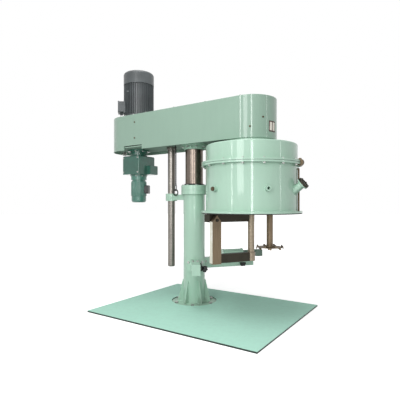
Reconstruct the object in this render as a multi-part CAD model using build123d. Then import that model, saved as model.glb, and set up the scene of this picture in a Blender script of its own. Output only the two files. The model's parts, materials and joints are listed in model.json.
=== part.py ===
from build123d import *
from math import asin, atan2, ceil, cos, degrees, hypot, pi, radians, sin
import os

# Dual shaft dispersing mixer: a hydraulic column carries a lifting head.
# The head holds a belt driven saw-tooth disperser and a slow scraper frame under a tank lid.
# Millimetres. The origin is on the column axis at floor level, +Z up, and +X runs
# along the head from the column to the lid.

os.makedirs("parts", exist_ok=True)

# Clearances
run = 0.05            # radial clearance of every running fit
gap = 0.5             # air between a belt or chain and its wheels
bolt_play = 0.5       # radial play of a bolt in its clearance hole

# Floor plate and column foot
plate_length = 1705
plate_width = 1370
plate_thickness = 14
plate_centre_x = 252
plate_centre_y = -175
foot_diameter = 455
foot_thickness = 6
fin_count = 6
fin_height = 220
fin_reach = 165       # radius of a fin at its foot
fin_thickness = 12
anchor_count = 6
anchor_radius = 195
anchor_diameter = 20

# Column, gland and ram
column_diameter = 219
column_bore = 195
column_top = 1132
column_flange_diameter = 264
column_flange_thickness = 40
gland_height = 51
gland_play = 1
wiper_diameter = 201
wiper_seat = 8        # depth of the wiper's seat in the gland
wiper_proud = 15      # how far the wiper stands out of the gland
gland_bolt_count = 8
gland_bolt_radius = 117
gland_bolt_diameter = 12
gland_bolt_grip = 25
ram_diameter = 180
ram_bottom = 330
bush_length = 180
oil_port_angle = 120
oil_port_height = 90
oil_port_bore = 24.1
oil_boss_diameter = 46
oil_boss_reach = 140

# Guide beside the column
guide_x = -295
guide_diameter = 76
guide_bottom = 331
guide_nose = 12
guide_eye_diameter = 122
guide_bush_diameter = 92
guide_eye_height = 76
guide_collar_diameter = 100
guide_collar_height = 30
bracket_width = 64
bracket_height = 56

# Yoke that centres a wheeled tank
yoke_angle = 53
yoke_bottom = 340
yoke_height = 104
yoke_skirt = 18       # the saddle reaches this far below the arms
saddle_wall = 12
saddle_half_angle = 95
arm_width = 80
arm_wall = 6
near_arm_reach = 430
far_arm_reach = 655
pad_thickness = 12
pad_length = 84
pad_height = 60
stop_reach = 524
stop_length = 66
stop_height = 36
stop_thickness = 24
saddle_bolt_angles = (-83, -17, 17, 83)
saddle_bolt_drop = 30
saddle_bolt_diameter = 14
pivot_reach = 250     # radius of the two bolts on top of each arm
pivot_pitch = 44
knob_angle = -14
knob_height = 350
knob_diameter = 64
knob_length = 34
knob_stud_diameter = 12
knob_standoff = 15
knob_lobes = 5

# Tie rod cylinder on the far arm
tie_height = 489
tie_diameter = 58
tie_start = 310
tie_end = 540
tie_rod_diameter = 24
tie_rod_start = 350
tie_back_wall = 4
tie_block_start = 696
tie_block_length = 76
tie_block_width = 64
tie_block_bottom = 430
tie_block_height = 70
tie_eye_diameter = 26
tie_foot_length = 30
tie_foot_width = 46

# Head beam
beam_bottom = 1574
beam_top = 1948
beam_radius = 235     # half the width, and the radius of both round ends
beam_rear_x = -828
beam_wall = 8
beam_cover = 8
beam_floor_z = 1600
beam_floor = 12
notch_start_x = -764
notch_end_x = -505
notch_height = 45
cover_screw_steps = 4  # spaces between the screws along each straight side
cover_screw_diameter = 10
cover_screw_inset = 8  # from the inside of the wall to the screw

# Ram head
ram_flange_diameter = 266
ram_flange_thickness = 24
ram_hub_diameter = 204
ram_hub_height = 31
ram_seat = 10         # solid flange left above the ram
ram_bolt_count = 8
ram_bolt_radius = 117
ram_bolt_diameter = 14
ram_rib_count = 4

# Pull chain
chain_x = -179
chain_y = -78
chain_bottom = 1190
chain_turn = -11       # turn of the first link about the upright
chain_eye_drop = 34    # from the beam's floor to the middle of the first link
chain_eye_radius = 9
link_length = 32
link_width = 22
link_wire = 6
link_play = 0.3       # air between two links
shackle_length = 70
shackle_width = 32
shackle_wire = 9
chain_ring_radius = 30
chain_ring_wire = 12

# Main motor
motor_x = -766
motor_flange_diameter = 350
motor_flange_thickness = 20
motor_core_diameter = 306
motor_diameter = 336
motor_fin_count = 44
motor_eye_diameter = 34
motor_eye_hole = 16
motor_fin_thickness = 4
motor_top = 2467
fan_cover_height = 139
fan_cover_start = motor_top - fan_cover_height
fan_cover_wall = 3
motor_fin_end = fan_cover_start - 6
fan_dome_height = 26
fan_dome_flat = 272   # diameter of the grille on top
fan_slot_count = 18
rotor_bore = 196
rotor_core_diameter = 192
motor_shaft_diameter = 48
terminal_angle = 223
terminal_bottom = 2017
terminal_height = 122
terminal_width = 132
terminal_reach = 222
eye_angle = -94
eye_drop = 89          # from the ends of the fins down to the lifting eye
fan_diameter = 260
fan_bore = 80
fan_depth = 54
fan_web = 5
fan_gap = 16           # from the motor's end shield to the fan

# Gearmotor under the beam
gearbox_length = 250
gearbox_width = 266
gearbox_bottom = 1322
gearbox_top = 1527
gearbox_neck = 190
gearbox_flange = 240
gearbox_step = 48
output_diameter = 45
slow_motor_diameter = 165
slow_motor_bottom = 1010
slow_motor_top = 1254
slow_adapter_diameter = 176
slow_box_angle = 28
slow_box_bottom = 1110
slow_box_height = 93
slow_box_width = 90
slow_box_reach = 118
tension_x = -993
tension_drop = 42

# Drives inside the beam
belt_count = 4
belt_height = 11
belt_depth = 9
belt_pitch = 19
pulley_bottom = 1800
pulley_height = 84
motor_pulley_diameter = 200
spindle_pulley_diameter = 280
sprocket_bottom = 1655
sprocket_thickness = 22
output_teeth = 20
carrier_teeth = 40
tooth_pitch = 24
slow_chain_height = 16
slow_chain_depth = 10

# Lid
lid_x = 641
lid_radius = 420
lid_flange_radius = lid_radius + 40
cap_top = 1530
cap_edge = 14
cap_wall = 8
cap_plate = 12
cap_flange_bottom = 1359
cap_flange_thickness = 17
joint_gap = 3         # thickness of the gasket between cap and skirt
skirt_flange_thickness = 16
skirt_bottom = 916
skirt_wall = 8
rim_gasket_width = 14
rim_gasket_radius = lid_flange_radius - rim_gasket_width / 2 - 2
rim_gasket_groove = 3
rim_gasket_proud = 8
clip_count = 16
clip_radius = lid_radius + 23
clip_offset = -50.2
clip_diameter = 10
sight_angle = 0
sight_tilt = 38.5
sight_start_r = lid_radius - 20
sight_start_z = 1101
sight_length = 112
sight_tube_diameter = 68
sight_tube_bore = 54
sight_flange_diameter = 104
sight_flange_thickness = 10
sight_glass_diameter = 78
sight_glass_thickness = 10
sight_ring_diameter = 104
sight_ring_thickness = 18
sight_ring_window = 60
sight_bolt_count = 6
sight_bolt_diameter = 6
port_angles = (-109.4, -45.6)
port_height = 1125
port_diameter = 48
port_bore = 25
port_reach = 30
plug_diameter = 34
vent_angle = 12
vent_diameter = 16
vent_top = 1305
clamp_angle = 5
clamp_diameter = 62
clamp_length = 46
clamp_inset = 8        # from the flange's edge in to the middle of the clamp
clamp_screw = 14

# Spindle housing and carrier
housing_diameter = 240
housing_bore = 200
housing_bottom = 1396
housing_top = 1626
housing_flange = 300
bearing_height = 38
carrier_shaft_diameter = 120
carrier_shaft_bore = 80
carrier_shaft_top = 1700
carrier_flange = 240
carrier_flange_thickness = 18
carrier_radius = 350
carrier_bottom = 985
carrier_top = 1290
carrier_wall = 8
carrier_base = 16
carrier_cover = 12
spindle_diameter = 60
spindle_bottom = 1085
spindle_top = 1900
spindle_bush_length = 40
sun_diameter = 140
planet_diameter = 110
planet_belt_z = 1122
planet_belt_height = 26
planet_rim = 6

# Disperser
disperser_angle = 60
disperser_offset = 213
disperser_diameter = 60
disperser_top = 1200
disc_height = 583
disc_diameter = 250
disc_thickness = 4
disc_hub_diameter = 92
disc_hub_height = 14
disc_spigot = 36
disc_teeth = 16
tooth_height = 18
tooth_length = 34
disc_nut_height = 16
disc_nut_flats = 46
seal_housing_diameter = 120
seal_housing_flange = 160
seal_housing_bottom = 930
seal_housing_top = 1095

# Scraper frame
frame_angle = -120
post_diameter = 60
frame_bottom = 472
top_arm_bottom = 834
top_arm_height = 71
top_arm_near = -12    # side of the arm that the wall bar is bolted to
top_arm_width = 100
top_arm_root = -30
top_arm_reach = 440
wall_bar_inner = 350
wall_bar_outer = 434
wall_bar_thickness = 48
wall_bar_shoulder = 842
wall_bar_apex = 898
scraper_thickness = 8
scraper_inset = 4
bottom_bar_height = 78
bottom_bar_thickness = 48
post_foot_diameter = 74
frame_bolt_diameter = 16

BOTTOM = (Align.CENTER, Align.CENTER, Align.MIN)


def rod(diameter, z0, z1, x=0, y=0):
    """Upright cylinder between two heights."""
    return Pos(x, y, z0) * Cylinder(diameter / 2, z1 - z0, align=BOTTOM)


def tube(outer, inner, z0, z1, x=0, y=0):
    """Upright tube between two heights."""
    return rod(outer, z0, z1, x, y) - rod(inner, z0 - 1, z1 + 1, x, y)


def block(x0, x1, y0, y1, z0, z1):
    """Upright box between two corners."""
    return Pos(x0, y0, z0) * Box(x1 - x0, y1 - y0, z1 - z0, align=(Align.MIN,) * 3)


def stadium(radius, z0, z1, x0=beam_rear_x, x1=lid_x):
    """Upright slot shape whose round ends are centred on x0 and x1."""
    middle = block(x0, x1, -radius, radius, z0, z1)
    return middle + rod(2 * radius, z0, z1, x0) + rod(2 * radius, z0, z1, x1)


def hexagon(flats, z0, z1, x=0, y=0):
    """Upright hexagonal prism, as a bolt head or a nut."""
    return Pos(x, y, z0) * extrude(RegularPolygon(flats / 2, 6, major_radius=False), z1 - z0)


def bolt_up(diameter, grip, z, x=0, y=0):
    """Bolt with its head on top: the shank runs down by grip from z."""
    head = hexagon(1.6 * diameter, z, z + 0.65 * diameter, x, y)
    return head + rod(diameter, z - grip, z, x, y)


def bolt_down(diameter, grip, z, x=0, y=0):
    """Bolt with its head below: the shank runs up by grip from z."""
    head = hexagon(1.6 * diameter, z - 0.65 * diameter, z, x, y)
    return head + rod(diameter, z, z + grip, x, y)


def ring_points(count, radius, start=0, x=0, y=0):
    """Centres spaced evenly round a circle."""
    turns = [radians(start + 360 * i / count) for i in range(count)]
    return [(x + radius * cos(t), y + radius * sin(t)) for t in turns]


def drill(shape, diameter, points, z0, z1):
    """Cut the same upright hole at each point."""
    for x, y in points:
        shape = shape - rod(diameter, z0, z1, x, y)
    return shape


def radial(angle, radius, z, x=0):
    """Frame at a radius and height round the axis at x, with its Z pointing outwards."""
    at = (x + radius * cos(radians(angle)), radius * sin(radians(angle)), z)
    return Pos(*at) * Rot(0, 0, angle) * Rot(0, 90, 0)


def loop_band(x0, y0, r0, x1, y1, r1, depth, z0, z1):
    """Closed belt round two wheels, with its inner face at the two given radii."""
    span = hypot(x1 - x0, y1 - y0)
    lean = degrees(asin((r0 - r1) / span))
    turn = Rot(0, 0, degrees(atan2(y1 - y0, x1 - x0)))

    def outline(grow):
        a, b = r0 + grow, r1 + grow
        s, c = sin(radians(lean)), cos(radians(lean))
        corners = [(a * s, a * c), (span + b * s, b * c), (span + b * s, -b * c), (a * s, -a * c)]
        flat = make_face(Polyline(*corners, close=True))
        return extrude(flat + Circle(a) + Pos(span, 0) * Circle(b), z1 - z0)

    return Pos(x0, y0, z0) * turn * (outline(depth) - outline(0))


def named(shape, label):
    """Give a sub-part its name."""
    shape.label = label
    return shape


def base_plate():
    plate = block(-plate_length / 2, plate_length / 2, -plate_width / 2, plate_width / 2, 0, plate_thickness)
    plate = Pos(plate_centre_x, plate_centre_y, 0) * plate
    return plate - rod(foot_diameter, -1, plate_thickness + 1)


def column_foot():
    foot = rod(foot_diameter, 0, foot_thickness)
    top = foot_thickness + fin_height
    waist = column_diameter / 2
    profile = make_face(
        Polyline(
            (waist - 10, foot_thickness),
            (fin_reach, foot_thickness),
            (fin_reach, foot_thickness + 14),
            (waist + 6, top),
            (waist - 10, top),
            close=True,
        )
    )
    fin = extrude(Plane.XZ * profile, fin_thickness / 2, both=True)
    for i in range(fin_count):
        foot = foot + Rot(0, 0, 360 * (i + 0.5) / fin_count) * fin
    foot = foot - rod(column_diameter, foot_thickness, top + 1)
    return drill(foot, anchor_diameter + 2 * bolt_play, anchor_points(), -1, foot_thickness + 1)


def anchor_points():
    return ring_points(anchor_count, anchor_radius)


def column_tube():
    body = rod(column_diameter, foot_thickness, column_top)
    body = body + rod(column_flange_diameter, column_top - column_flange_thickness, column_top)
    boss = radial(oil_port_angle, 0, oil_port_height)
    body = body + boss * rod(oil_boss_diameter, 0, oil_boss_reach)
    body = body - rod(column_bore, foot_thickness - 1, column_top + 1)
    body = body - boss * rod(oil_port_bore, 0, oil_boss_reach + 1)
    points = ring_points(gland_bolt_count, gland_bolt_radius)
    return drill(body, gland_bolt_diameter, points, column_top - gland_bolt_grip, column_top + 1)


def bushes():
    """Bronze bushes of the ram and of the guide rod."""
    ram_sleeve = tube(column_bore, ram_diameter + 2 * run, column_top - bush_length, column_top)
    bottom = guide_eye_bottom()
    guide_sleeve = tube(guide_bush_diameter, guide_diameter + 2 * run, bottom, bottom + guide_eye_height, guide_x)
    return Compound([ram_sleeve, guide_sleeve])


def gland_cover():
    top = column_top + gland_height
    cover = tube(column_flange_diameter, ram_diameter + 2 * gland_play, column_top, top)
    cover = cover - rod(wiper_diameter, top - wiper_seat, top + 1)
    cover = chamfer(cover.edges().filter_by(GeomType.CIRCLE).sort_by(SortBy.RADIUS)[-2:], 2)
    points = ring_points(gland_bolt_count, gland_bolt_radius)
    return drill(cover, gland_bolt_diameter + 2 * bolt_play, points, column_top - 1, top + 1)


def gland_bolts():
    top = column_top + gland_height
    grip = gland_height + gland_bolt_grip
    points = ring_points(gland_bolt_count, gland_bolt_radius)
    return Compound([bolt_up(gland_bolt_diameter, grip, top, x, y) for x, y in points])


def wiper_seal():
    seat = column_top + gland_height - wiper_seat
    ring = tube(wiper_diameter, ram_diameter + 2 * run, seat, seat + wiper_seat + wiper_proud)
    return chamfer(ring.edges().filter_by(GeomType.CIRCLE).sort_by(Axis.Z)[-1], 3)


def guide_eye_bottom():
    return column_top - column_flange_thickness - (guide_eye_height + bracket_height) / 2


def guide_bracket():
    top = column_top - column_flange_thickness
    half = bracket_width / 2
    arm = block(guide_x, 0, -half, half, top - bracket_height, top)
    arm = arm - rod(column_diameter, 0, top + 1)
    bottom = guide_eye_bottom()
    arm = arm + rod(guide_eye_diameter, bottom, bottom + guide_eye_height, guide_x)
    return arm - rod(guide_bush_diameter, 0, column_top, guide_x)


def arm_frame(side):
    """Frame of a yoke arm: X runs out along it. side is -1 for near and 1 for far."""
    return Rot(0, 0, side * yoke_angle)


def saddle_radius():
    return column_diameter / 2 + saddle_wall


def yoke_saddle():
    top = yoke_bottom + yoke_height
    bottom = yoke_bottom - yoke_skirt
    ring = tube(2 * saddle_radius(), column_diameter, bottom, top)
    half = radians(saddle_half_angle)
    big = 2 * column_diameter
    wedge = make_face(
        Polyline((0, 0), (big * cos(half), big * sin(half)), (-big, big), (-big, -big),
                 (big * cos(half), -big * sin(half)), close=True)
    )
    ring = ring - Pos(0, 0, bottom - 1) * extrude(wedge, top - bottom + 2)
    inside, outside = column_diameter / 2 - 20, column_diameter / 2 + 30
    for angle in saddle_bolt_angles:
        ring = ring - radial(angle, 0, top - saddle_bolt_drop) * rod(saddle_bolt_diameter, inside, outside)
    return ring - radial(knob_angle, 0, knob_height) * rod(knob_stud_diameter + 2 * run, inside, outside)


def yoke_arm(side, reach):
    """Hollow welded arm of the yoke, open where it meets the saddle."""
    top = yoke_bottom + yoke_height
    half = arm_width / 2
    arm = block(0, reach, -half, half, yoke_bottom, top)
    arm = chamfer(arm.edges().filter_by(Axis.X), 2)
    hollow = block(-1, reach - arm_wall, arm_wall - half, half - arm_wall, yoke_bottom + arm_wall, top - arm_wall)
    arm = arm - hollow
    for y in (-pivot_pitch / 2, pivot_pitch / 2):
        arm = arm - rod(saddle_bolt_diameter, top - arm_wall - 1, top + 1, pivot_reach, y)
    return arm_frame(side) * arm - rod(2 * saddle_radius(), 0, top + 1)


def yoke_pads():
    """Rubber pads that meet the tank, and a rubber stop further out on the far arm."""
    reach = lid_x * cos(radians(yoke_angle))
    top = yoke_bottom + yoke_height
    pads = []
    for side in (-1, 1):
        face = -side * arm_width / 2
        outer = -side * (arm_width / 2 + pad_thickness)
        pad = block(reach - pad_length / 2, reach + pad_length / 2, min(face, outer), max(face, outer),
                    top - pad_height, top)
        pads.append(arm_frame(side) * chamfer(pad.edges().filter_by(Axis.Z), 3))
    low, high = yoke_bottom, yoke_bottom + stop_height
    wide, narrow = stop_length / 2, stop_length / 2 - 14
    outline = Polyline((stop_reach - narrow, low), (stop_reach + narrow, low), (stop_reach + wide, high),
                       (stop_reach - wide, high), close=True)
    face = -arm_width / 2
    stop = Pos(0, face, 0) * extrude(Plane.XZ * make_face(outline), stop_thickness)
    return Compound(pads + [arm_frame(1) * stop])


def stand_bolts():
    """Anchor bolts of the foot, and the bolts of the saddle and the arms."""
    top = yoke_bottom + yoke_height
    bolts = [bolt_up(anchor_diameter, foot_thickness, foot_thickness, x, y) for x, y in anchor_points()]
    for angle in saddle_bolt_angles:
        grip = saddle_wall
        bolts.append(radial(angle, saddle_radius(), top - saddle_bolt_drop) * bolt_up(saddle_bolt_diameter, grip, 0))
    for side in (-1, 1):
        for y in (-pivot_pitch / 2, pivot_pitch / 2):
            bolts.append(arm_frame(side) * bolt_up(saddle_bolt_diameter, arm_wall, top, pivot_reach, y))
    return Compound(bolts)


def lock_knob():
    face = saddle_radius() + knob_standoff
    knob = rod(0.72 * knob_diameter, face, face + knob_length)
    lobe = 0.3 * knob_diameter
    for x, y in ring_points(knob_lobes, (knob_diameter - lobe) / 2):
        knob = knob + rod(lobe, face, face + knob_length, x, y)
    knob = knob + rod(0.45 * knob_diameter, face - knob_standoff / 2, face)
    knob = knob + rod(knob_stud_diameter, column_diameter / 2 + 0.3, face)
    return radial(knob_angle, 0, knob_height) * knob


def along_far_arm(z, lift=0):
    """Frame with its Z along the far arm, at a height."""
    return arm_frame(1) * Pos(0, 0, z + lift) * Rot(0, 90, 0)


def tie_cylinder():
    axis = along_far_arm(tie_height)
    body = axis * rod(tie_diameter, tie_start, tie_end)
    body = body + axis * rod(tie_diameter + 8, tie_end - 14, tie_end)
    body = body + axis * rod(tie_diameter + 8, tie_start, tie_start + 12)
    for start in (tie_start + 30, tie_end - 30 - tie_foot_length):
        foot = block(start, start + tie_foot_length, -tie_foot_width / 2, tie_foot_width / 2,
                     yoke_bottom + yoke_height, tie_height)
        body = body + arm_frame(1) * foot
    body = body - arm_frame(1) * block(0, far_arm_reach, -arm_width, arm_width, 0, yoke_bottom + yoke_height)
    return body - axis * rod(tie_rod_diameter + 2 * run, tie_start + tie_back_wall, tie_end + 1)


def tie_rod():
    """Piston rod with the eye block that takes the tank's tie chain."""
    start = tie_block_start
    half = tie_block_width / 2
    head = block(start, start + tie_block_length, -half, half, tie_block_bottom, tie_block_bottom + tie_block_height)
    head = chamfer(head.edges().filter_by(Axis.Z), 6)
    eye = start + tie_block_length * 0.62
    head = head - rod(tie_eye_diameter, 0, beam_bottom, eye)
    return arm_frame(1) * head + along_far_arm(tie_height) * rod(tie_rod_diameter, tie_rod_start, start)


def ram():
    top = beam_floor_z - ram_seat
    shaft = rod(ram_diameter, ram_bottom, top)
    shaft = shaft - rod(ram_diameter - 36, ram_bottom + 40, top - 60)
    return chamfer(shaft.edges().filter_by(GeomType.CIRCLE).sort_by(Axis.Z)[0], 3)


def ram_flange():
    top = beam_floor_z
    disc_bottom = top - ram_flange_thickness
    hub_bottom = disc_bottom - ram_hub_height
    flange = rod(ram_flange_diameter, disc_bottom, top) + rod(ram_hub_diameter, hub_bottom, disc_bottom)
    rib = make_face(
        Polyline((80, hub_bottom), (ram_hub_diameter / 2, hub_bottom), (ram_flange_diameter / 2 - 4, disc_bottom),
                 (80, disc_bottom), close=True)
    )
    rib = extrude(Plane.XZ * rib, 5, both=True)
    for i in range(ram_rib_count):
        flange = flange + Rot(0, 0, 360 * (i + 0.25) / ram_rib_count) * rib
    flange = flange - rod(ram_diameter, hub_bottom - 1, top - ram_seat)
    return drill(flange, ram_bolt_diameter + 2 * bolt_play, ram_bolt_points(), disc_bottom - 1, top + 1)


def ram_bolt_points():
    return ring_points(ram_bolt_count, ram_bolt_radius, 0)


def guide_rod():
    bar = rod(guide_diameter, guide_bottom, beam_floor_z, guide_x)
    bar = fillet(bar.edges().filter_by(GeomType.CIRCLE).sort_by(Axis.Z)[0], guide_nose)
    collar = rod(guide_collar_diameter, beam_floor_z - guide_collar_height, beam_floor_z, guide_x)
    collar = chamfer(collar.edges().filter_by(GeomType.CIRCLE).sort_by(Axis.Z)[0], 4)
    return bar + collar


def chain_link(z, turn, length=link_length, width=link_width, wire=link_wire):
    """One stadium shaped link standing upright, centred on z."""
    straight = length - width
    radius = (width - wire) / 2
    path = Plane.XZ * SlotCenterToCenter(straight, 2 * radius, rotation=90).wire()
    start = path.edges()[0] @ 0
    tangent = path.edges()[0] % 0
    ring = sweep(Plane(origin=start, z_dir=tangent) * Circle(wire / 2), path=path)
    return Pos(chain_x, chain_y, z) * Rot(0, 0, turn) * ring


def standing_ring(z, turn, radius, wire):
    """Round ring of the pull chain, upright and turned about the upright."""
    return Pos(chain_x, chain_y, z) * Rot(0, 0, turn) * Rot(90, 0, 0) * Torus(radius, wire / 2)


def pull_chain():
    pitch = link_length - 2 * link_wire - 2 * link_play
    top = beam_floor_z - chain_eye_drop
    count = ceil((top - chain_bottom) / pitch)
    parts = [chain_link(top - i * pitch, chain_turn + 90 * (i % 2)) for i in range(count)]
    eye_z = top + (link_length - link_wire) / 2
    eye = standing_ring(eye_z, chain_turn + 90, chain_eye_radius, link_wire)
    parts.append(eye + rod(1.6 * link_wire, eye_z + chain_eye_radius, beam_floor_z, chain_x, chain_y))
    last = top - (count - 1) * pitch - link_length / 2 + link_wire
    shackle_z = last + shackle_wire + link_play - shackle_length / 2
    shackle_turn = chain_turn + 90 * (count % 2)
    parts.append(chain_link(shackle_z, shackle_turn, shackle_length, shackle_width, shackle_wire))
    last = shackle_z - shackle_length / 2 + shackle_wire
    ring_z = last + chain_ring_wire / 2 + link_play - chain_ring_radius
    parts.append(standing_ring(ring_z, shackle_turn + 90, chain_ring_radius, chain_ring_wire))
    return Compound(parts)


def beam_shell():
    cover = beam_top - beam_cover
    inner = beam_radius - beam_wall
    shell = stadium(beam_radius, beam_bottom, cover) - stadium(inner, beam_bottom - 1, cover + 1)
    shell = shell + stadium(inner + 1, beam_floor_z, beam_floor_z + beam_floor)
    notch = block(notch_start_x, notch_end_x, -beam_radius - 1, -inner + 2, beam_bottom - 1, beam_bottom + notch_height)
    shell = shell - notch
    shell = shell - rod(gearbox_neck - 20, beam_bottom, cover, motor_x)
    shell = shell - rod(housing_diameter, beam_bottom, cover, lid_x)
    for x, y in screw_points():
        lug = rod(26, cover - 40, cover, x, y) - rod(cover_screw_diameter, cover - 41, cover + 1, x, y)
        lug = lug & stadium(inner + 1, cover - 50, cover)
        shell = shell + lug
    return drill(shell, ram_bolt_diameter, ram_bolt_points(), beam_floor_z - 1, beam_floor_z + beam_floor + 1)


def screw_points():
    """Screw centres round the edge of the cover plate."""
    inset = beam_radius - beam_wall - cover_screw_inset
    step = (lid_x - beam_rear_x) / cover_screw_steps
    straight = [(beam_rear_x + step * i, side * inset) for i in range(cover_screw_steps + 1) for side in (-1, 1)]
    return straight + [(beam_rear_x - inset, 0), (lid_x + inset, 0)]


def beam_cover_plate():
    bottom = beam_top - beam_cover
    plate = stadium(beam_radius, bottom, beam_top)
    plate = chamfer(plate.edges().group_by(Axis.Z)[-1], 2)
    plate = plate - rod(motor_core_diameter - 60, bottom - 1, beam_top + 1, motor_x)
    return drill(plate, cover_screw_diameter + 2 * bolt_play, screw_points(), bottom - 1, beam_top + 1)


def head_bolts():
    """Cover screws, ram flange bolts and the belt tension screw."""
    bolts = [bolt_up(cover_screw_diameter, beam_cover + 18, beam_top, x, y) for x, y in screw_points()]
    under = beam_floor_z - ram_flange_thickness
    grip = ram_flange_thickness + beam_floor
    bolts += [bolt_down(ram_bolt_diameter, grip, under, x, y) for x, y in ram_bolt_points()]
    lug = block(tension_x - 9, tension_x + 9, -22, 22, beam_floor_z - tension_drop, beam_floor_z)
    screw = Pos(tension_x, 0, beam_floor_z - 20) * Rot(0, 90, 0) * (rod(12, -26, 40) + hexagon(19, -34, -26))
    bolts.append(lug + screw)
    return Compound(bolts)


def motor_housing():
    base = beam_top
    body = rod(motor_flange_diameter, base, base + motor_flange_thickness, motor_x)
    body = body + rod(motor_core_diameter, base, motor_fin_end + 6, motor_x)
    fin_base = base + motor_flange_thickness + 22
    outer = motor_diameter / 2
    fin = block(motor_core_diameter / 2 - 4, outer, -motor_fin_thickness / 2, motor_fin_thickness / 2,
                fin_base, motor_fin_end)
    fins = [Pos(motor_x, 0, 0) * Rot(0, 0, 360 * (i + 0.5) / motor_fin_count) * fin for i in range(motor_fin_count)]
    body = body.fuse(*fins)
    pad_width = terminal_width + 10
    pad = block(motor_core_diameter / 2 - 20, outer, -pad_width / 2, pad_width / 2, terminal_bottom - 6,
                terminal_bottom + terminal_height + 6)
    body = body + Pos(motor_x, 0, 0) * Rot(0, 0, terminal_angle) * pad
    eye = rod(motor_eye_diameter, -7, 7) - rod(motor_eye_hole, -8, 8)
    eye = radial(eye_angle, outer - 12, motor_fin_end - eye_drop, motor_x) * Rot(0, 90, 0) * eye
    neck = radial(eye_angle, motor_core_diameter / 2 - 3, motor_fin_end - eye_drop, motor_x) * rod(18, 0, 8)
    body = body + (eye - rod(motor_core_diameter - 4, base, motor_top, motor_x)) + neck
    body = body - rod(rotor_bore, base + 36, motor_fin_end - 30, motor_x)
    return body - rod(motor_shaft_diameter + 2 * run, base - 1, motor_fin_end + 10, motor_x)


def fan_cover():
    outer = motor_diameter / 2 + 1.5
    flat = fan_dome_flat / 2
    shoulder = motor_top - fan_dome_height

    def cap(shrink):
        edge = outer - shrink
        top = motor_top - shrink
        wall = Polyline((0, top), (0, fan_cover_start), (edge, fan_cover_start), (edge, shoulder))
        dome = ThreePointArc((edge, shoulder), (edge - 0.26 * (edge - flat), top - 9 - 0.1 * shrink), (flat, top))
        lid = Line((flat, top), (0, top))
        return Pos(motor_x, 0, 0) * revolve(Plane.XZ * make_face(wall + dome + lid), Axis.Z)

    cover = cap(0) - cap(fan_cover_wall) - rod(2 * (outer - fan_cover_wall), fan_cover_start - 1,
                                               fan_cover_start + 6, motor_x)
    slot = block(42, flat - 8, -4, 4, motor_top - 12, motor_top + 1)
    for i in range(fan_slot_count):
        cover = cover - Pos(motor_x, 0, 0) * Rot(0, 0, 360 * i / fan_slot_count) * slot
    spigot = tube(2 * (outer - fan_cover_wall), motor_core_diameter, fan_cover_start - 6, fan_cover_start + 6, motor_x)
    return cover + (spigot - rod(motor_diameter + 40, 0, fan_cover_start, motor_x))


def terminal_box():
    start = motor_diameter / 2
    half = terminal_width / 2
    case = block(start, terminal_reach, -half, half, terminal_bottom, terminal_bottom + terminal_height)
    case = fillet(case.edges().filter_by(Axis.X), 10)
    lid = block(terminal_reach, terminal_reach + 8, -half - 4, half + 4, terminal_bottom - 4,
                terminal_bottom + terminal_height + 4)
    lid = fillet(lid.edges().filter_by(Axis.X), 12)
    gland = rod(34, terminal_bottom - 22, terminal_bottom, (start + terminal_reach) / 2)
    return Pos(motor_x, 0, 0) * Rot(0, 0, terminal_angle) * (case + lid + gland)


def motor_rotor():
    low = fan_cover_start + fan_gap
    high = low + fan_depth
    shaft = rod(motor_shaft_diameter, pulley_bottom - 12, high, motor_x)
    core = rod(rotor_core_diameter, beam_top + 60, motor_fin_end - 50, motor_x)
    hub = rod(fan_bore + 10, low, high, motor_x)
    rotor = shaft + core + hub + rod(fan_diameter - 30, low, low + fan_web, motor_x)
    blade = block(fan_bore / 2, fan_diameter / 2, -2, 2, low, high)
    blades = [Pos(motor_x, 0, 0) * Rot(0, 0, 45 * i) * blade for i in range(8)]
    return rotor.fuse(*blades)


def grooved_pulley(diameter, bore, x):
    """V belt pulley with one groove for each belt."""
    outer = diameter / 2
    root = outer - belt_depth - 1
    points = [(bore / 2, pulley_bottom), (outer, pulley_bottom)]
    for z in belt_levels():
        middle = z + belt_height / 2
        points += [(outer, middle - belt_height / 2 - 3), (root, middle - belt_height / 2 - 1),
                   (root, middle + belt_height / 2 + 1), (outer, middle + belt_height / 2 + 3)]
    points += [(outer, pulley_bottom + pulley_height), (bore / 2, pulley_bottom + pulley_height)]
    wheel = revolve(Plane.XZ * make_face(Polyline(*points, close=True)), Axis.Z)
    return Pos(x, 0, 0) * wheel


def belt_levels():
    """Bottom height of each belt."""
    spare = pulley_height - (belt_count - 1) * belt_pitch - belt_height
    return [pulley_bottom + spare / 2 + i * belt_pitch for i in range(belt_count)]


def drive_belts():
    r0 = motor_pulley_diameter / 2 - belt_depth - 1 + gap
    r1 = spindle_pulley_diameter / 2 - belt_depth - 1 + gap
    return Compound([loop_band(motor_x, 0, r0, lid_x, 0, r1, belt_depth, z, z + belt_height) for z in belt_levels()])


def toothed_wheel(teeth, bore, x, phase=0):
    """Chain sprocket with plain rounded teeth and a hub."""
    pitch_radius = teeth * tooth_pitch / (2 * pi)
    top = sprocket_bottom + sprocket_thickness
    wheel = rod(2 * pitch_radius, sprocket_bottom, top)
    scoop = [rod(0.62 * tooth_pitch, sprocket_bottom - 1, top + 1, px, py)
             for px, py in ring_points(teeth, pitch_radius, phase)]
    wheel = wheel.cut(*scoop)
    wheel = wheel + rod(bore + 44, sprocket_bottom, top + 14)
    return Pos(x, 0, 0) * (wheel - rod(bore, sprocket_bottom - 1, top + 20))


def slow_chain():
    r0 = output_teeth * tooth_pitch / (2 * pi) + gap
    r1 = carrier_teeth * tooth_pitch / (2 * pi) + gap
    bottom = sprocket_bottom + (sprocket_thickness - slow_chain_height) / 2
    return loop_band(motor_x, 0, r0, lid_x, 0, r1, slow_chain_depth, bottom, bottom + slow_chain_height)


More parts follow.
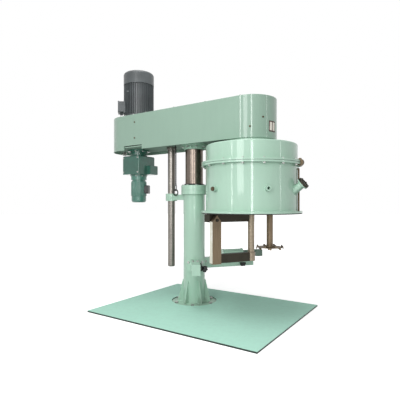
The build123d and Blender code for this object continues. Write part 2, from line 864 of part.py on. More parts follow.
def gearbox():
    half_x, half_y = gearbox_length / 2, gearbox_width / 2
    case = block(motor_x - half_x, motor_x + half_x, -half_y, half_y, gearbox_bottom, gearbox_top)
    case = fillet(case.edges().filter_by(Axis.Z), 14)
    case = chamfer(case.edges().group_by(Axis.Z)[-1], 8)
    step_top = gearbox_bottom + 100
    step = block(motor_x + half_x - 20, motor_x + half_x + gearbox_step, 0, half_y - 8, gearbox_bottom, step_top)
    case = case + fillet(step.edges().filter_by(Axis.X), 10)
    case = case + rod(gearbox_neck, gearbox_top - 20, beam_floor_z, motor_x)
    case = case + rod(gearbox_flange, beam_floor_z - 16, beam_floor_z, motor_x)
    case = case + rod(slow_adapter_diameter + 18, gearbox_bottom - 12, gearbox_bottom, motor_x)
    return case - rod(output_diameter + 2 * run, gearbox_bottom + 60, beam_floor_z + 1, motor_x)


def output_sprocket():
    """Gearbox output shaft with its sprocket."""
    shaft = rod(output_diameter, gearbox_bottom + 60.5, sprocket_bottom + sprocket_thickness + 20, motor_x)
    return Compound([shaft, toothed_wheel(output_teeth, output_diameter, motor_x)])


def slow_motor():
    top = gearbox_bottom - 12
    body = rod(slow_adapter_diameter, slow_motor_top + 10, top, motor_x)
    body = body + rod(slow_adapter_diameter - 30, slow_motor_top, top, motor_x)
    barrel = rod(slow_motor_diameter, slow_motor_bottom, slow_motor_top, motor_x)
    barrel = fillet(barrel.edges().filter_by(GeomType.CIRCLE).sort_by(Axis.Z)[0], 24)
    groove = tube(slow_motor_diameter + 2, slow_motor_diameter - 6, slow_motor_bottom + 62, slow_motor_bottom + 66,
                  motor_x)
    return body + (barrel - groove)


def slow_motor_box():
    half = slow_box_width / 2
    case = block(slow_motor_diameter / 2 - 10, slow_box_reach, -half, half, slow_box_bottom,
                 slow_box_bottom + slow_box_height)
    case = fillet(case.edges().filter_by(Axis.X), 12)
    case = Pos(motor_x, 0, 0) * Rot(0, 0, slow_box_angle) * case
    return case - rod(slow_motor_diameter, slow_motor_bottom, slow_motor_top, motor_x)


def clip_points():
    return ring_points(clip_count, clip_radius, clip_offset, lid_x)


def lid_cap():
    bottom = cap_flange_bottom
    body = rod(2 * lid_radius, bottom, cap_top, lid_x)
    body = fillet(body.edges().filter_by(GeomType.CIRCLE).sort_by(Axis.Z)[-1], cap_edge)
    body = body + rod(2 * lid_flange_radius, bottom, bottom + cap_flange_thickness, lid_x)
    hollow = rod(2 * (lid_radius - cap_wall), bottom - 1, cap_top - cap_plate, lid_x)
    hollow = fillet(hollow.edges().filter_by(GeomType.CIRCLE).sort_by(Axis.Z)[-1], cap_edge - cap_wall)
    body = body - hollow - rod(housing_diameter, bottom, cap_top + 1, lid_x)
    return drill(body, clip_diameter + 2 * bolt_play, clip_points(), bottom - 1, bottom + 30)


def skirt_top():
    return cap_flange_bottom - joint_gap


def sight_axis(reach=0):
    """Frame on the sight nozzle's axis, with its Z pointing out of the lid."""
    base = Pos(lid_x, 0, 0) * Rot(0, 0, sight_angle) * Pos(sight_start_r, 0, sight_start_z)
    return base * Rot(0, 90 - sight_tilt, 0) * Pos(0, 0, reach)


def sight_points():
    return ring_points(sight_bolt_count, (sight_flange_diameter + sight_glass_diameter) / 4, 30)


def lid_skirt():
    top = skirt_top()
    flange_top = skirt_bottom + skirt_flange_thickness
    inner = lid_radius - skirt_wall
    body = rod(2 * lid_radius, skirt_bottom, top, lid_x)
    body = body + rod(2 * lid_flange_radius, top - skirt_flange_thickness, top, lid_x)
    body = body + rod(2 * lid_flange_radius, skirt_bottom, flange_top, lid_x)
    body = body + sight_axis() * rod(sight_tube_diameter, -40, sight_length)
    body = body + sight_axis() * rod(sight_flange_diameter, sight_length - sight_flange_thickness, sight_length)
    for angle in port_angles:
        body = body + radial(angle, 0, port_height, lid_x) * rod(port_diameter, inner + 1, lid_radius + port_reach)
    body = body - rod(2 * inner, skirt_bottom - 1, top + 1, lid_x)
    body = body - sight_axis() * rod(sight_tube_bore, -60, sight_length + 1)
    for angle in port_angles:
        body = body - radial(angle, 0, port_height, lid_x) * rod(port_bore, inner - 20, lid_radius + port_reach + 1)
    outer, inside = 2 * rim_gasket_radius + rim_gasket_width, 2 * rim_gasket_radius - rim_gasket_width
    body = body - tube(outer, inside, skirt_bottom - 1, skirt_bottom + rim_gasket_groove, lid_x)
    return drill(body, clip_diameter + 2 * bolt_play, clip_points(), top - 30, top + 1)


def lid_gaskets():
    joint = tube(2 * clip_radius - 30, 2 * lid_radius - 2 * skirt_wall, skirt_top(), cap_flange_bottom, lid_x)
    outer, inside = 2 * rim_gasket_radius + rim_gasket_width, 2 * rim_gasket_radius - rim_gasket_width
    rim = tube(outer, inside, skirt_bottom - rim_gasket_proud, skirt_bottom + rim_gasket_groove, lid_x)
    return Compound([joint, rim])


def lid_clips():
    """Bolts round the lid joint, with a nut under it and a head on it."""
    top = cap_flange_bottom + cap_flange_thickness
    bottom = skirt_top() - skirt_flange_thickness
    clips = []
    for x, y in clip_points():
        clip = bolt_up(clip_diameter, top - bottom + 12, top, x, y)
        clips.append(clip + hexagon(20, bottom - 12, bottom, x, y))
    return Compound(clips)


def sight_glass():
    return sight_axis(sight_length) * rod(sight_glass_diameter, 0, sight_glass_thickness)


def sight_ring():
    ring = tube(sight_ring_diameter, sight_ring_window, 0, sight_ring_thickness)
    ring = ring - rod(sight_glass_diameter, -1, sight_glass_thickness)
    ring = chamfer(ring.edges().filter_by(GeomType.CIRCLE).group_by(Axis.Z)[-1], 3)
    heads = [bolt_up(sight_bolt_diameter, 0.1, sight_ring_thickness, x, y) for x, y in sight_points()]
    ring = ring.fuse(*heads)
    return sight_axis(sight_length) * ring


def side_fittings():
    """Port plug, vent pipe and eye bolt clamp on the skirt."""
    plugs = []
    angle = port_angles[0]
    face = lid_radius + port_reach
    plugs.append(radial(angle, 0, port_height, lid_x) * (hexagon(plug_diameter, face, face + 14) +
                                                         rod(port_bore, face - 24, face)))
    reach = lid_radius + vent_diameter / 2 + 2
    flange_top = skirt_bottom + skirt_flange_thickness
    spot = (lid_x + reach * cos(radians(vent_angle)), reach * sin(radians(vent_angle)))
    pipe = rod(vent_diameter, flange_top, vent_top, *spot)
    elbow = radial(vent_angle, 0, vent_top, lid_x) * rod(vent_diameter, lid_radius - 4, reach)
    pipe = pipe + elbow + Pos(*spot, vent_top) * Sphere(vent_diameter / 2)
    plugs.append(pipe - rod(2 * lid_radius, flange_top, vent_top + 40, lid_x))
    plugs.append(swing_clamp())
    return Compound(plugs)


def swing_clamp():
    """Clamp that grips the two flanges of the lid joint, closed by a screw on top."""
    low, high = skirt_top() - skirt_flange_thickness, cap_flange_bottom + cap_flange_thickness
    middle = lid_flange_radius - clamp_inset
    half = clamp_length / 2
    body = Pos(middle, 0, (low + high) / 2) * Rot(90, 0, 0) * rod(clamp_diameter, -half, half)
    body = body - block(0, lid_flange_radius, -half - 1, half + 1, low, high)
    body = body - block(0, middle - 20, -half - 1, half + 1, low - clamp_diameter, high + clamp_diameter)
    top = (low + high + clamp_diameter) / 2 - 3
    body = body + hexagon(1.6 * clamp_screw, top, top + 9, middle)
    return Pos(lid_x, 0, 0) * Rot(0, 0, clamp_angle) * body


def bearing_housing():
    body = rod(housing_diameter, housing_bottom, housing_top, lid_x)
    body = body + rod(housing_flange, cap_top, beam_floor_z, lid_x)
    body = body - rod(housing_bore, housing_bottom + 12, housing_top - 12, lid_x)
    return body - rod(carrier_shaft_diameter + 4, 0, beam_top, lid_x)


def main_bearings():
    low = housing_bottom + 12
    high = housing_top - 12 - bearing_height
    bore = carrier_shaft_diameter + 2 * run
    return Compound([tube(housing_bore, bore, z, z + bearing_height, lid_x) for z in (low, high)])


def carrier_shaft():
    shaft = rod(carrier_shaft_diameter, carrier_top, carrier_shaft_top, lid_x)
    shaft = shaft + rod(carrier_flange, carrier_top, carrier_top + carrier_flange_thickness, lid_x)
    return shaft - rod(carrier_shaft_bore, carrier_top - 1, carrier_shaft_top + 1, lid_x)


def spindle_bushes():
    bore = spindle_diameter + 2 * run
    low = carrier_top + 10
    high = carrier_shaft_top - spindle_bush_length
    return Compound([tube(carrier_shaft_bore, bore, z, z + spindle_bush_length, lid_x) for z in (low, high)])


def carrier_box():
    body = rod(2 * carrier_radius, carrier_bottom, carrier_top, lid_x)
    inner = 2 * (carrier_radius - carrier_wall)
    body = body - rod(inner, carrier_bottom + carrier_base, carrier_top - carrier_cover, lid_x)
    body = body - rod(carrier_shaft_bore, carrier_top - 30, carrier_top + 1, lid_x)
    return body - rod(seal_housing_diameter, 0, carrier_bottom + 60, *disperser_spot())


def disperser_spot():
    turn = radians(disperser_angle)
    return (lid_x + disperser_offset * cos(turn), disperser_offset * sin(turn))


def seal_housing():
    spot = disperser_spot()
    floor = carrier_bottom + carrier_base
    body = rod(seal_housing_diameter, seal_housing_bottom, seal_housing_top, *spot)
    body = body + rod(seal_housing_flange, floor, floor + 14, *spot)
    return body - rod(disperser_diameter + 2 * run, 0, beam_top, *spot)


def spindle():
    return rod(spindle_diameter, spindle_bottom, spindle_top, lid_x)


def flat_pulley(diameter, bore, x, y):
    """Flat belt pulley with a rim above and below its belt."""
    low, high = planet_belt_z - 2, planet_belt_z + planet_belt_height + 2
    wheel = rod(diameter, low - planet_rim, high + planet_rim, x, y)
    for z in (low - planet_rim, high):
        wheel = wheel + rod(diameter + 16, z, z + planet_rim, x, y)
    return wheel - rod(bore, 0, beam_top, x, y)


def spindle_pulleys():
    return Compound([grooved_pulley(spindle_pulley_diameter, spindle_diameter, lid_x),
                     flat_pulley(sun_diameter, spindle_diameter, lid_x, 0)])


def planet_belt():
    x, y = disperser_spot()
    return loop_band(lid_x, 0, sun_diameter / 2 + gap, x, y, planet_diameter / 2 + gap, 5,
                     planet_belt_z, planet_belt_z + planet_belt_height)


def disperser_shaft():
    spot = disperser_spot()
    hub_top = disc_height + disc_thickness + disc_hub_height
    shaft = rod(disperser_diameter, hub_top, disperser_top, *spot)
    return shaft + rod(disc_spigot, disc_height - disc_nut_height - 10, hub_top, *spot)


def saw_tooth_disc():
    x, y = disperser_spot()
    top = disc_height + disc_thickness
    disc = rod(disc_diameter, disc_height, top)
    half = tooth_length / 2
    tooth = make_face(Polyline((-half, 0), (half, 0), (half, tooth_height), (half - 8, tooth_height), close=True))
    tooth = Plane.YZ * tooth
    for i in range(disc_teeth):
        blade = Pos(disc_diameter / 2 - 4, 0, disc_thickness / 2) * extrude(tooth, 8)
        if i % 2:
            blade = Pos(0, 0, disc_thickness) * blade.mirror(Plane.XY)
        disc = disc + Pos(0, 0, disc_height) * Rot(0, 0, 360 * i / disc_teeth) * blade
    disc = disc + rod(disc_hub_diameter, top, top + disc_hub_height)
    disc = disc - rod(disc_spigot, 0, top + disc_hub_height + 1)
    return Pos(x, y, 0) * disc


def disc_nut():
    spot = disperser_spot()
    nut = hexagon(disc_nut_flats, disc_height - disc_nut_height, disc_height, *spot)
    return nut - rod(disc_spigot, 0, disc_height + 1, *spot)


def in_frame(shape):
    """Place a scraper frame piece: X runs out from the post and Y to its far side."""
    return Pos(lid_x, 0, 0) * Rot(0, 0, frame_angle) * shape


def far_side(y):
    """Turn a distance to the far side, as the lid shows it from the front, into the frame's Y."""
    return -y


def slab(r0, r1, t0, t1, z0, z1):
    """Box in the scraper frame between two radii and two sides."""
    y0, y1 = sorted((far_side(t0), far_side(t1)))
    return block(r0, r1, y0, y1, z0, z1)


def post():
    foot = rod(post_foot_diameter, frame_bottom, frame_bottom + bottom_bar_height, lid_x)
    return foot + rod(post_diameter, frame_bottom, carrier_bottom, lid_x)


def top_arm():
    near, far = top_arm_near, top_arm_near + top_arm_width
    arm = slab(top_arm_root, top_arm_reach, near, far, top_arm_bottom, top_arm_bottom + top_arm_height)
    arm = arm + rod(post_diameter + 24, top_arm_bottom + top_arm_height, top_arm_bottom + top_arm_height + 20)
    arm = arm - rod(post_diameter, 0, carrier_top)
    for z in frame_bolt_heights():
        axis = Pos((wall_bar_inner + wall_bar_outer) / 2, far_side(near), z) * Rot(90, 0, 0)
        arm = arm - axis * rod(frame_bolt_diameter, -30, 30)
    return Compound([in_frame(arm)] + frame_bolts())


def frame_bolt_heights():
    return [top_arm_bottom + 20]


def wall_bar():
    r0, r1 = wall_bar_inner, wall_bar_outer
    outline = make_face(
        Polyline((r0, frame_bottom), (r1, frame_bottom), (r1, wall_bar_shoulder), ((r0 + r1) / 2, wall_bar_apex),
                 (r0, wall_bar_shoulder), close=True)
    )
    bar = extrude(Plane.XZ * outline, wall_bar_thickness / 2, both=True)
    bar = Pos(0, far_side(top_arm_near - wall_bar_thickness / 2), 0) * bar
    for z in frame_bolt_heights():
        axis = Pos((r0 + r1) / 2, far_side(top_arm_near), z) * Rot(90, 0, 0)
        bar = bar - axis * rod(frame_bolt_diameter, -wall_bar_thickness - 1, wall_bar_thickness + 1)
    return in_frame(bar)


def frame_bolts():
    """Bolt that holds the wall bar to the top arm."""
    bolts = []
    for z in frame_bolt_heights():
        face = far_side(top_arm_near - wall_bar_thickness)
        axis = Pos((wall_bar_inner + wall_bar_outer) / 2, face, z) * Rot(-90, 0, 0)
        bolts.append(axis * bolt_up(frame_bolt_diameter, wall_bar_thickness + 30, 0))
    return [in_frame(bolt) for bolt in bolts]


def scraper_blade():
    blade = slab(wall_bar_outer, wall_bar_outer + scraper_thickness,
                 top_arm_near - wall_bar_thickness + scraper_inset, top_arm_near - scraper_inset,
                 frame_bottom + 8, wall_bar_shoulder)
    return in_frame(blade)


def bottom_bar():
    half = bottom_bar_thickness / 2
    top = frame_bottom + bottom_bar_height
    bar = slab(0, wall_bar_inner, -half, half, frame_bottom, top)
    return in_frame(bar - rod(post_foot_diameter, 0, top + 1))


pieces = {
    "base_plate": base_plate(),
    "column_foot": column_foot(),
    "column_tube": column_tube(),
    "bushes": bushes(),
    "gland_cover": gland_cover(),
    "gland_bolts": gland_bolts(),
    "wiper_seal": wiper_seal(),
    "guide_bracket": guide_bracket(),
    "yoke_saddle": yoke_saddle(),
    "stand_bolts": stand_bolts(),
    "near_arm": yoke_arm(-1, near_arm_reach),
    "far_arm": yoke_arm(1, far_arm_reach),
    "yoke_pads": yoke_pads(),
    "lock_knob": lock_knob(),
    "tie_cylinder": tie_cylinder(),
    "tie_rod": tie_rod(),
    "ram": ram(),
    "ram_flange": ram_flange(),
    "guide_rod": guide_rod(),
    "pull_chain": pull_chain(),
    "beam_shell": beam_shell(),
    "beam_cover": beam_cover_plate(),
    "head_bolts": head_bolts(),
    "motor_housing": motor_housing(),
    "fan_cover": fan_cover(),
    "terminal_box": terminal_box(),
    "motor_rotor": motor_rotor(),
    "motor_pulley": grooved_pulley(motor_pulley_diameter, motor_shaft_diameter, motor_x),
    "drive_belts": drive_belts(),
    "gearbox": gearbox(),
    "slow_motor": slow_motor(),
    "slow_motor_box": slow_motor_box(),
    "output_sprocket": output_sprocket(),
    "slow_chain": slow_chain(),
    "lid_cap": lid_cap(),
    "lid_skirt": lid_skirt(),
    "lid_gaskets": lid_gaskets(),
    "lid_clips": lid_clips(),
    "sight_glass": sight_glass(),
    "sight_ring": sight_ring(),
    "side_fittings": side_fittings(),
    "bearing_housing": bearing_housing(),
    "main_bearings": main_bearings(),
    "carrier_shaft": carrier_shaft(),
    "carrier_sprocket": toothed_wheel(carrier_teeth, carrier_shaft_diameter, lid_x),
    "carrier_box": carrier_box(),
    "seal_housing": seal_housing(),
    "spindle": spindle(),
    "spindle_bushes": spindle_bushes(),
    "spindle_pulleys": spindle_pulleys(),
    "planet_belt": planet_belt(),
    "disperser_shaft": disperser_shaft(),
    "planet_pulley": flat_pulley(planet_diameter, disperser_diameter, *disperser_spot()),
    "saw_tooth_disc": saw_tooth_disc(),
    "disc_nut": disc_nut(),
    "post": post(),
    "top_arm": top_arm(),
    "wall_bar": wall_bar(),
    "scraper_blade": scraper_blade(),
    "bottom_bar": bottom_bar(),
}

for label, shape in pieces.items():
    export_step(named(shape, label), f"parts/{label}.step")
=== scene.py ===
"""Looks of a dual shaft dispersing mixer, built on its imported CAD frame. Metres."""

import json

import bmesh
import bpy
import numpy as np
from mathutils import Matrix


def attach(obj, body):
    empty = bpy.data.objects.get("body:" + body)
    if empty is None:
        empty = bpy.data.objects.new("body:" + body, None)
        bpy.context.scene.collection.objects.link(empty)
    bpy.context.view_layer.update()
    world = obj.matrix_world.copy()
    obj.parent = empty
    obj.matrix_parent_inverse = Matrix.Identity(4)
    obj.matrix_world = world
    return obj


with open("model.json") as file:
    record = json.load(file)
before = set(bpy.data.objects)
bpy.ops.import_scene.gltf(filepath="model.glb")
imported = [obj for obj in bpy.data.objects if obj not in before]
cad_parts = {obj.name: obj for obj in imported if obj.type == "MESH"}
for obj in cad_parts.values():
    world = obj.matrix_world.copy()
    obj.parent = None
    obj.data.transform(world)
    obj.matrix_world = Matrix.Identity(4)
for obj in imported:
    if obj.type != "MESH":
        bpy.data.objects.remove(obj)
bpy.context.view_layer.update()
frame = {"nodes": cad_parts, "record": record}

# Places repeated from the CAD source
beam_top = 1.948
beam_side = 0.235
lid_x = 0.641
lid_radius = 0.42
motor_x = -0.766
column_radius = 0.1095
port_angles = (-109.4, -45.6)
port_height = 1.125
foot_fins = 6
foot_top = 0.006

# Photo camera
focal_px = 370.7
photo_px = 400
horizon_px = 202.8
camera_place = (2.16, -3.12, 1.006)
camera_turn = np.radians(33.8)
towards_camera = np.array([np.sin(camera_turn), -np.cos(camera_turn), 0])
camera_left = np.array([-np.cos(camera_turn), -np.sin(camera_turn), 0])

# Point in the middle of the machine that every lamp is turned to
lamp_aim = np.array([0.25, 0, 1.1])


def colour(red, green, blue):
    """Linear colour of three 0 to 255 screen values: each is (s + 0.055) / 1.055 to the power 2.4."""
    screen = np.array([red, green, blue]) / 255
    return (*((screen + 0.055) / 1.055) ** 2.4, 1.0)


def tinted(base, factor):
    """The same colour, lighter or darker."""
    return (*(min(1.0, part * factor) for part in base[:3]), 1.0)


class Wire:
    """One output socket, whose arithmetic adds Math nodes to the same material."""

    def __init__(self, tree, socket):
        self.tree = tree
        self.socket = socket

    def node(self, kind, settings=None, sockets=None, output=0):
        """A new node: its settings are made first, then its sockets get values or links."""
        made = self.tree.nodes.new("ShaderNode" + kind)
        for key, value in (settings or {}).items():
            setattr(made, key, value)
        for key, value in (sockets or {}).items():
            if isinstance(value, Wire):
                self.tree.links.new(value.socket, made.inputs[key])
            else:
                made.inputs[key].default_value = value
        return Wire(self.tree, made.outputs[output]) if made.outputs else None

    def math(self, operation, first, second):
        return self.node("Math", {"operation": operation}, {0: first, 1: second})

    def __add__(self, other):
        return self.math("ADD", self, other)

    def __radd__(self, other):
        return self.math("ADD", other, self)

    def __rsub__(self, other):
        return self.math("SUBTRACT", other, self)

    def __mul__(self, other):
        return self.math("MULTIPLY", self, other)

    def above(self, edge, soft):
        """0 below the edge and 1 from edge + soft upwards, smoothly between."""
        limits = {"Value": self, "From Min": edge, "From Max": edge + soft}
        return self.node("MapRange", {"interpolation_type": "SMOOTHSTEP"}, limits)

    def mix(self, first, second):
        """Colour between two colours, by this number."""
        return self.node("Mix", {"data_type": "RGBA"}, {0: self, 6: first, 7: second}, output=2)

    def noise(self, scale, detail=2.0, stretch=(1, 1, 1), turn=0.0):
        """Noise round a half, at points turned about Z and then stretched."""
        placed = self.node("Mapping", {}, {"Vector": self, "Rotation": (0, 0, turn)})
        placed = placed.node("VectorMath", {"operation": "MULTIPLY"}, {0: placed, 1: stretch})
        return placed.node("TexNoise", {}, {"Vector": placed, "Scale": scale, "Detail": detail})

    def height(self):
        """Height of each point above the floor."""
        return self.node("SeparateXYZ", {}, {"Vector": self}, output=2)

    def facing_up(self):
        """1 where the surface faces up, 0 where it is upright and -1 where it faces down."""
        normal = self.node("NewGeometry", {}, {}, output=1)
        return normal.node("SeparateXYZ", {}, {"Vector": normal}, output=2)

    def bump(self, strength, distance):
        sockets = {"Height": self, "Strength": strength, "Distance": distance}
        return self.node("Bump", {}, sockets)


def start(name):
    """New material and the wire of its points in the frame."""
    material = bpy.data.materials.new(name)
    material.use_nodes = True
    tree = material.node_tree
    tree.nodes.clear()
    return material, Wire(tree, tree.nodes.new("ShaderNodeTexCoord").outputs["Object"])


def close(material, place, sockets):
    shader = place.node("BsdfPrincipled", {}, sockets)
    place.node("OutputMaterial", {}, {"Surface": shader})
    return material


def enamel(name, base, dirt, floor_reach=0.0, edge_height=0.0, coat=0.85, rough=0.34):
    """Sprayed gloss enamel: barely clouded, with orange peel, fine scratches and dust on top faces.
    Undersides are dry and matt, and painted shade darkens their colour. It is dirty up to floor_reach, and
    painted shade makes it dark below edge_height."""
    material, place = start(name)
    cloud = place.noise(1.9, 3)
    fleck = place.noise(34, 4)
    runs = place.noise(2.2, 3, stretch=(9, 9, 1))
    tone = (cloud * 0.6 + runs * 0.4).above(0.3, 0.4).mix(tinted(base, 0.965), tinted(base, 1.025))
    dust = place.facing_up().above(0.5, 0.5) * fleck.above(0.42, 0.4) * 0.06
    tone = dust.mix(tone, dirt)
    scratch = place.noise(26, 5, stretch=(1, 7, 1), turn=0.5).above(0.7, 0.04) * 0.16
    tone = scratch.mix(tone, tinted(base, 1.2))
    if floor_reach:
        low = 1 - place.height().above(0.0, floor_reach)
        tone = (low * place.noise(11, 5).above(0.42, 0.3) * 0.42).mix(tone, dirt)
    # painted shade: below edge_height the plate's sides turn dark green, as if in shadow
    if edge_height:
        low = 1 - place.height().above(edge_height, 0.0006)
        tone = low.mix(tone, colour(38, 52, 46))
    under = (0 - place.facing_up()).above(0.3, 0.4)
    top = place.facing_up().above(0.6, 0.3)
    # painted shade: faces turned down are mixed towards half the base colour
    tone = (under * 0.7).mix(tone, tinted(base, 0.5))
    peel = place.noise(330, 1) * 0.5 + place.noise(70, 2)
    return close(material, place, {
        "Base Color": tone,
        "Roughness": rough + fleck * 0.1 + dust * 1.5 + under * 0.4 + top * 0.2,
        "Specular IOR Level": 0.3,
        "Coat Weight": (1 - under) * (1 - top * 0.7) * coat,
        "Coat Roughness": 0.07,
        "Coat IOR": 1.45,
        "Normal": peel.bump(0.1, 0.0006),
    })


def cast_paint(name, base, dirt, grain, coat):
    """Paint on a rough casting: sand texture under the paint, dark in the hollows and dusty on top."""
    material, place = start(name)
    sand = place.noise(grain, 4)
    cloud = place.noise(6, 4)
    tone = cloud.above(0.3, 0.4).mix(tinted(base, 0.82), tinted(base, 1.18))
    dust = place.facing_up().above(0.3, 0.7) * cloud * 0.4
    tone = (dust + (1 - sand.above(0.2, 0.3)) * 0.15).mix(tone, dirt)
    return close(material, place, {
        "Base Color": tone,
        "Roughness": 0.36 + cloud * 0.16,
        "Coat Weight": coat,
        "Coat Roughness": 0.18,
        "Normal": (sand * 0.7 + cloud).bump(0.4, 0.0012),
    })


def bright_metal(name, base, rough, stretch, turn=0.0, film=0.25):
    """Ground or brushed steel: fine grooves along one direction, a thin patchy oil film and small nicks."""
    material, place = start(name)
    grooves = place.noise(5, 5, stretch=stretch, turn=turn)
    patches = place.noise(7, 5)
    nicks = place.noise(60, 3).above(0.7, 0.06)
    tone = grooves.above(0.3, 0.4).mix(tinted(base, 0.84), tinted(base, 1.14))
    tone = (patches.above(0.5, 0.25) * film + nicks * 0.3).mix(tone, tinted(base, 0.6))
    return close(material, place, {
        "Base Color": tone,
        "Metallic": 1.0,
        "Specular Tint": (0.75, 0.75, 0.75, 1),
        "Roughness": rough + grooves * 0.14 + patches * film * 0.3,
        "Normal": grooves.bump(0.12, 0.0006),
    })


def dull(name, base, rough, grain, depth):
    """Moulded plastic, rubber or blackened metal: a fine matt grain and rubbed lighter patches."""
    material, place = start(name)
    fine = place.noise(grain, 3)
    rubbed = place.noise(18, 4).above(0.5, 0.3)
    return close(material, place, {
        "Base Color": (rubbed * 0.5).mix(base, tinted(base, 1.8)),
        "Roughness": rough - rubbed * 0.12 + fine * 0.1,
        "Normal": fine.bump(0.35, depth),
    })


def clear_glass(name):
    """Toughened sight glass with a faint green tint and a few smears."""
    material, place = start(name)
    smear = place.noise(30, 4).above(0.5, 0.3)
    return close(material, place, {
        "Base Color": (0.72, 0.83, 0.79, 1),
        "Roughness": 0.03 + smear * 0.1,
        "Transmission Weight": 0.9,
        "IOR": 1.5,
    })


dust_colour = colour(140, 136, 122)
oil_dirt = colour(74, 72, 60)
mint = colour(170, 204, 184)
# painted light: the floor plate's paint is the mint made lighter, for its brightly lit top
lit_plate_mint = colour(182, 230, 212)
# painted shade: the beam's paint is the mint darkened, to tone down how brightly its side is lit
shaded_beam_mint = tinted(mint, 0.7)
forest = colour(32, 92, 76)
teal = colour(56, 118, 102)
# height under which the floor plate's sides get painted shade
plate_shade_height = 0.0128  # just under the floor plate's top

finishes = {
    "green_paint": enamel("green_enamel", mint, dust_colour),
    "floor_paint": enamel("floor_plate_enamel", lit_plate_mint, dust_colour, edge_height=plate_shade_height,
                          coat=0.05, rough=0.52),
    "stand_paint": enamel("column_enamel", mint, oil_dirt, floor_reach=0.16),
    "carrier_paint": enamel("carrier_enamel", tinted(mint, 0.8), oil_dirt),
    "beam_paint": enamel("beam_enamel_shaded", shaded_beam_mint, dust_colour),
    "tie_paint": enamel("tie_block_enamel", tinted(mint, 0.36), oil_dirt, coat=0.3),
    "slow_motor_paint": cast_paint("slow_motor_enamel", teal, colour(36, 66, 58), 210, 0.9),
    "dark_green_paint": cast_paint("gearbox_enamel", forest, colour(24, 44, 38), 210, 0.9),
    "grey_paint": cast_paint("motor_enamel", colour(80, 85, 87), colour(40, 44, 46), 240, 0.25),
    "ground_steel": bright_metal("hard_chrome", colour(118, 108, 100), 0.16, (3, 3, 70), film=0.15),
    "guide_steel": bright_metal("ground_guide_steel", colour(132, 128, 122), 0.2, (3, 3, 60), film=0.3),
    "stainless": bright_metal("stainless_bar", colour(118, 104, 86), 0.34, (60, 60, 2), film=0.35),
    "post_steel": bright_metal("turned_stainless", colour(138, 127, 111), 0.26, (3, 3, 80), film=0.3),
    # painted shade: a darker stainless for the top arm and bottom bar in the shade under the lid; the sight
    # ring shares it
    "dark_stainless": bright_metal("milled_stainless_shaded", colour(62, 59, 52), 0.38, (2, 70, 70), 1.05, 0.4),
    "zinc_steel": bright_metal("zinc_plate", colour(178, 180, 176), 0.34, (40, 40, 40), film=0.3),
    "dark_fitting": bright_metal("browned_steel", colour(96, 84, 68), 0.36, (30, 30, 30), film=0.4),
    "machined_steel": bright_metal("oiled_steel", colour(150, 148, 143), 0.32, (3, 3, 50), film=0.4),
    "bronze": bright_metal("bearing_bronze", colour(176, 132, 78), 0.34, (4, 4, 60), film=0.3),
    "tag_metal": dull("brown_tag_enamel", colour(70, 50, 42), 0.42, 200, 0.0002),
    "tag_field": bright_metal("bare_tag_field", colour(206, 202, 192), 0.42, (90, 3, 3), film=0.1),
    "dark_chain": dull("blackened_chain", colour(34, 34, 34), 0.5, 300, 0.0006),
    "black_rubber": dull("rubber", colour(26, 27, 27), 0.7, 400, 0.0004),
    "black_plastic": dull("black_phenolic", colour(22, 23, 24), 0.36, 260, 0.0003),
    "white_ptfe": dull("white_plastic", colour(226, 222, 208), 0.5, 200, 0.0003),
    "clear_glass": clear_glass("sight_glass_clear"),
}
own_finish = {
    "base_plate": "floor_paint",
    "column_foot": "stand_paint",
    "guide_rod": "guide_steel",
    "post": "post_steel",
    "side_fittings": "dark_fitting",
    "disperser_shaft": "stainless",
    "beam_shell": "beam_paint",
    "beam_cover": "beam_paint",
    "tie_rod": "tie_paint",
    "sight_ring": "dark_stainless",
    "slow_motor": "slow_motor_paint",
    "top_arm": "dark_stainless",
    "bottom_bar": "dark_stainless",
}


def dress_frame():
    """Give every CAD node the finish of its record slot, or its own."""
    for part in frame["record"]["subparts"]:
        node = frame["nodes"][part["node"]]
        finish = own_finish.get(part["node"], part["material_slot"])
        node.data.materials.clear()
        node.data.materials.append(finishes[finish])


def piece(name, grids, body, slot, finish=None, sharp=None):
    """One mesh from grids of points, each given as (points, wraps along rows, wraps along columns)."""
    points, faces, count = [], [], 0
    for grid, wrap_rows, wrap_columns in grids:
        rows, columns = grid.shape[:2]
        index = np.arange(rows * columns).reshape(rows, columns) + count
        if wrap_rows:
            index = np.vstack([index, index[:1]])
        if wrap_columns:
            index = np.hstack([index, index[:, :1]])
        corners = [index[:-1, :-1], index[1:, :-1], index[1:, 1:], index[:-1, 1:]]
        faces.append(np.stack(corners, axis=-1).reshape(-1, 4))
        points.append(grid.reshape(-1, 3))
        count += rows * columns
    mesh = bpy.data.meshes.new(name)
    mesh.from_pydata(np.vstack(points).tolist(), [], np.vstack(faces).tolist())
    work = bmesh.new()
    work.from_mesh(mesh)
    bmesh.ops.remove_doubles(work, verts=work.verts, dist=1e-6)
    bmesh.ops.recalc_face_normals(work, faces=work.faces)
    work.to_mesh(mesh)
    work.free()
    mesh.shade_smooth()
    if sharp is not None:
        mesh.set_sharp_from_angle(angle=sharp)
    made = bpy.data.objects.new(name, mesh)
    bpy.context.scene.collection.objects.link(made)
    made.data.materials.append(finishes[finish or slot])
    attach(made, body)


def frame_on(direction):
    """Three unit vectors, the last along the direction."""
    out = np.array(direction, float) / np.linalg.norm(direction)
    hint = np.array([0, 0, 1]) if abs(out[2]) < 0.9 else np.array([1, 0, 0])
    across = np.cross(hint, out)
    across /= np.linalg.norm(across)
    return across, np.cross(out, across), out


def compass(degrees):
    """Level unit vector at an angle from +X, and the one a quarter turn further."""
    turn = np.radians(degrees)
    out = np.array([np.cos(turn), np.sin(turn), 0])
    return out, np.array([-out[1], out[0], 0])


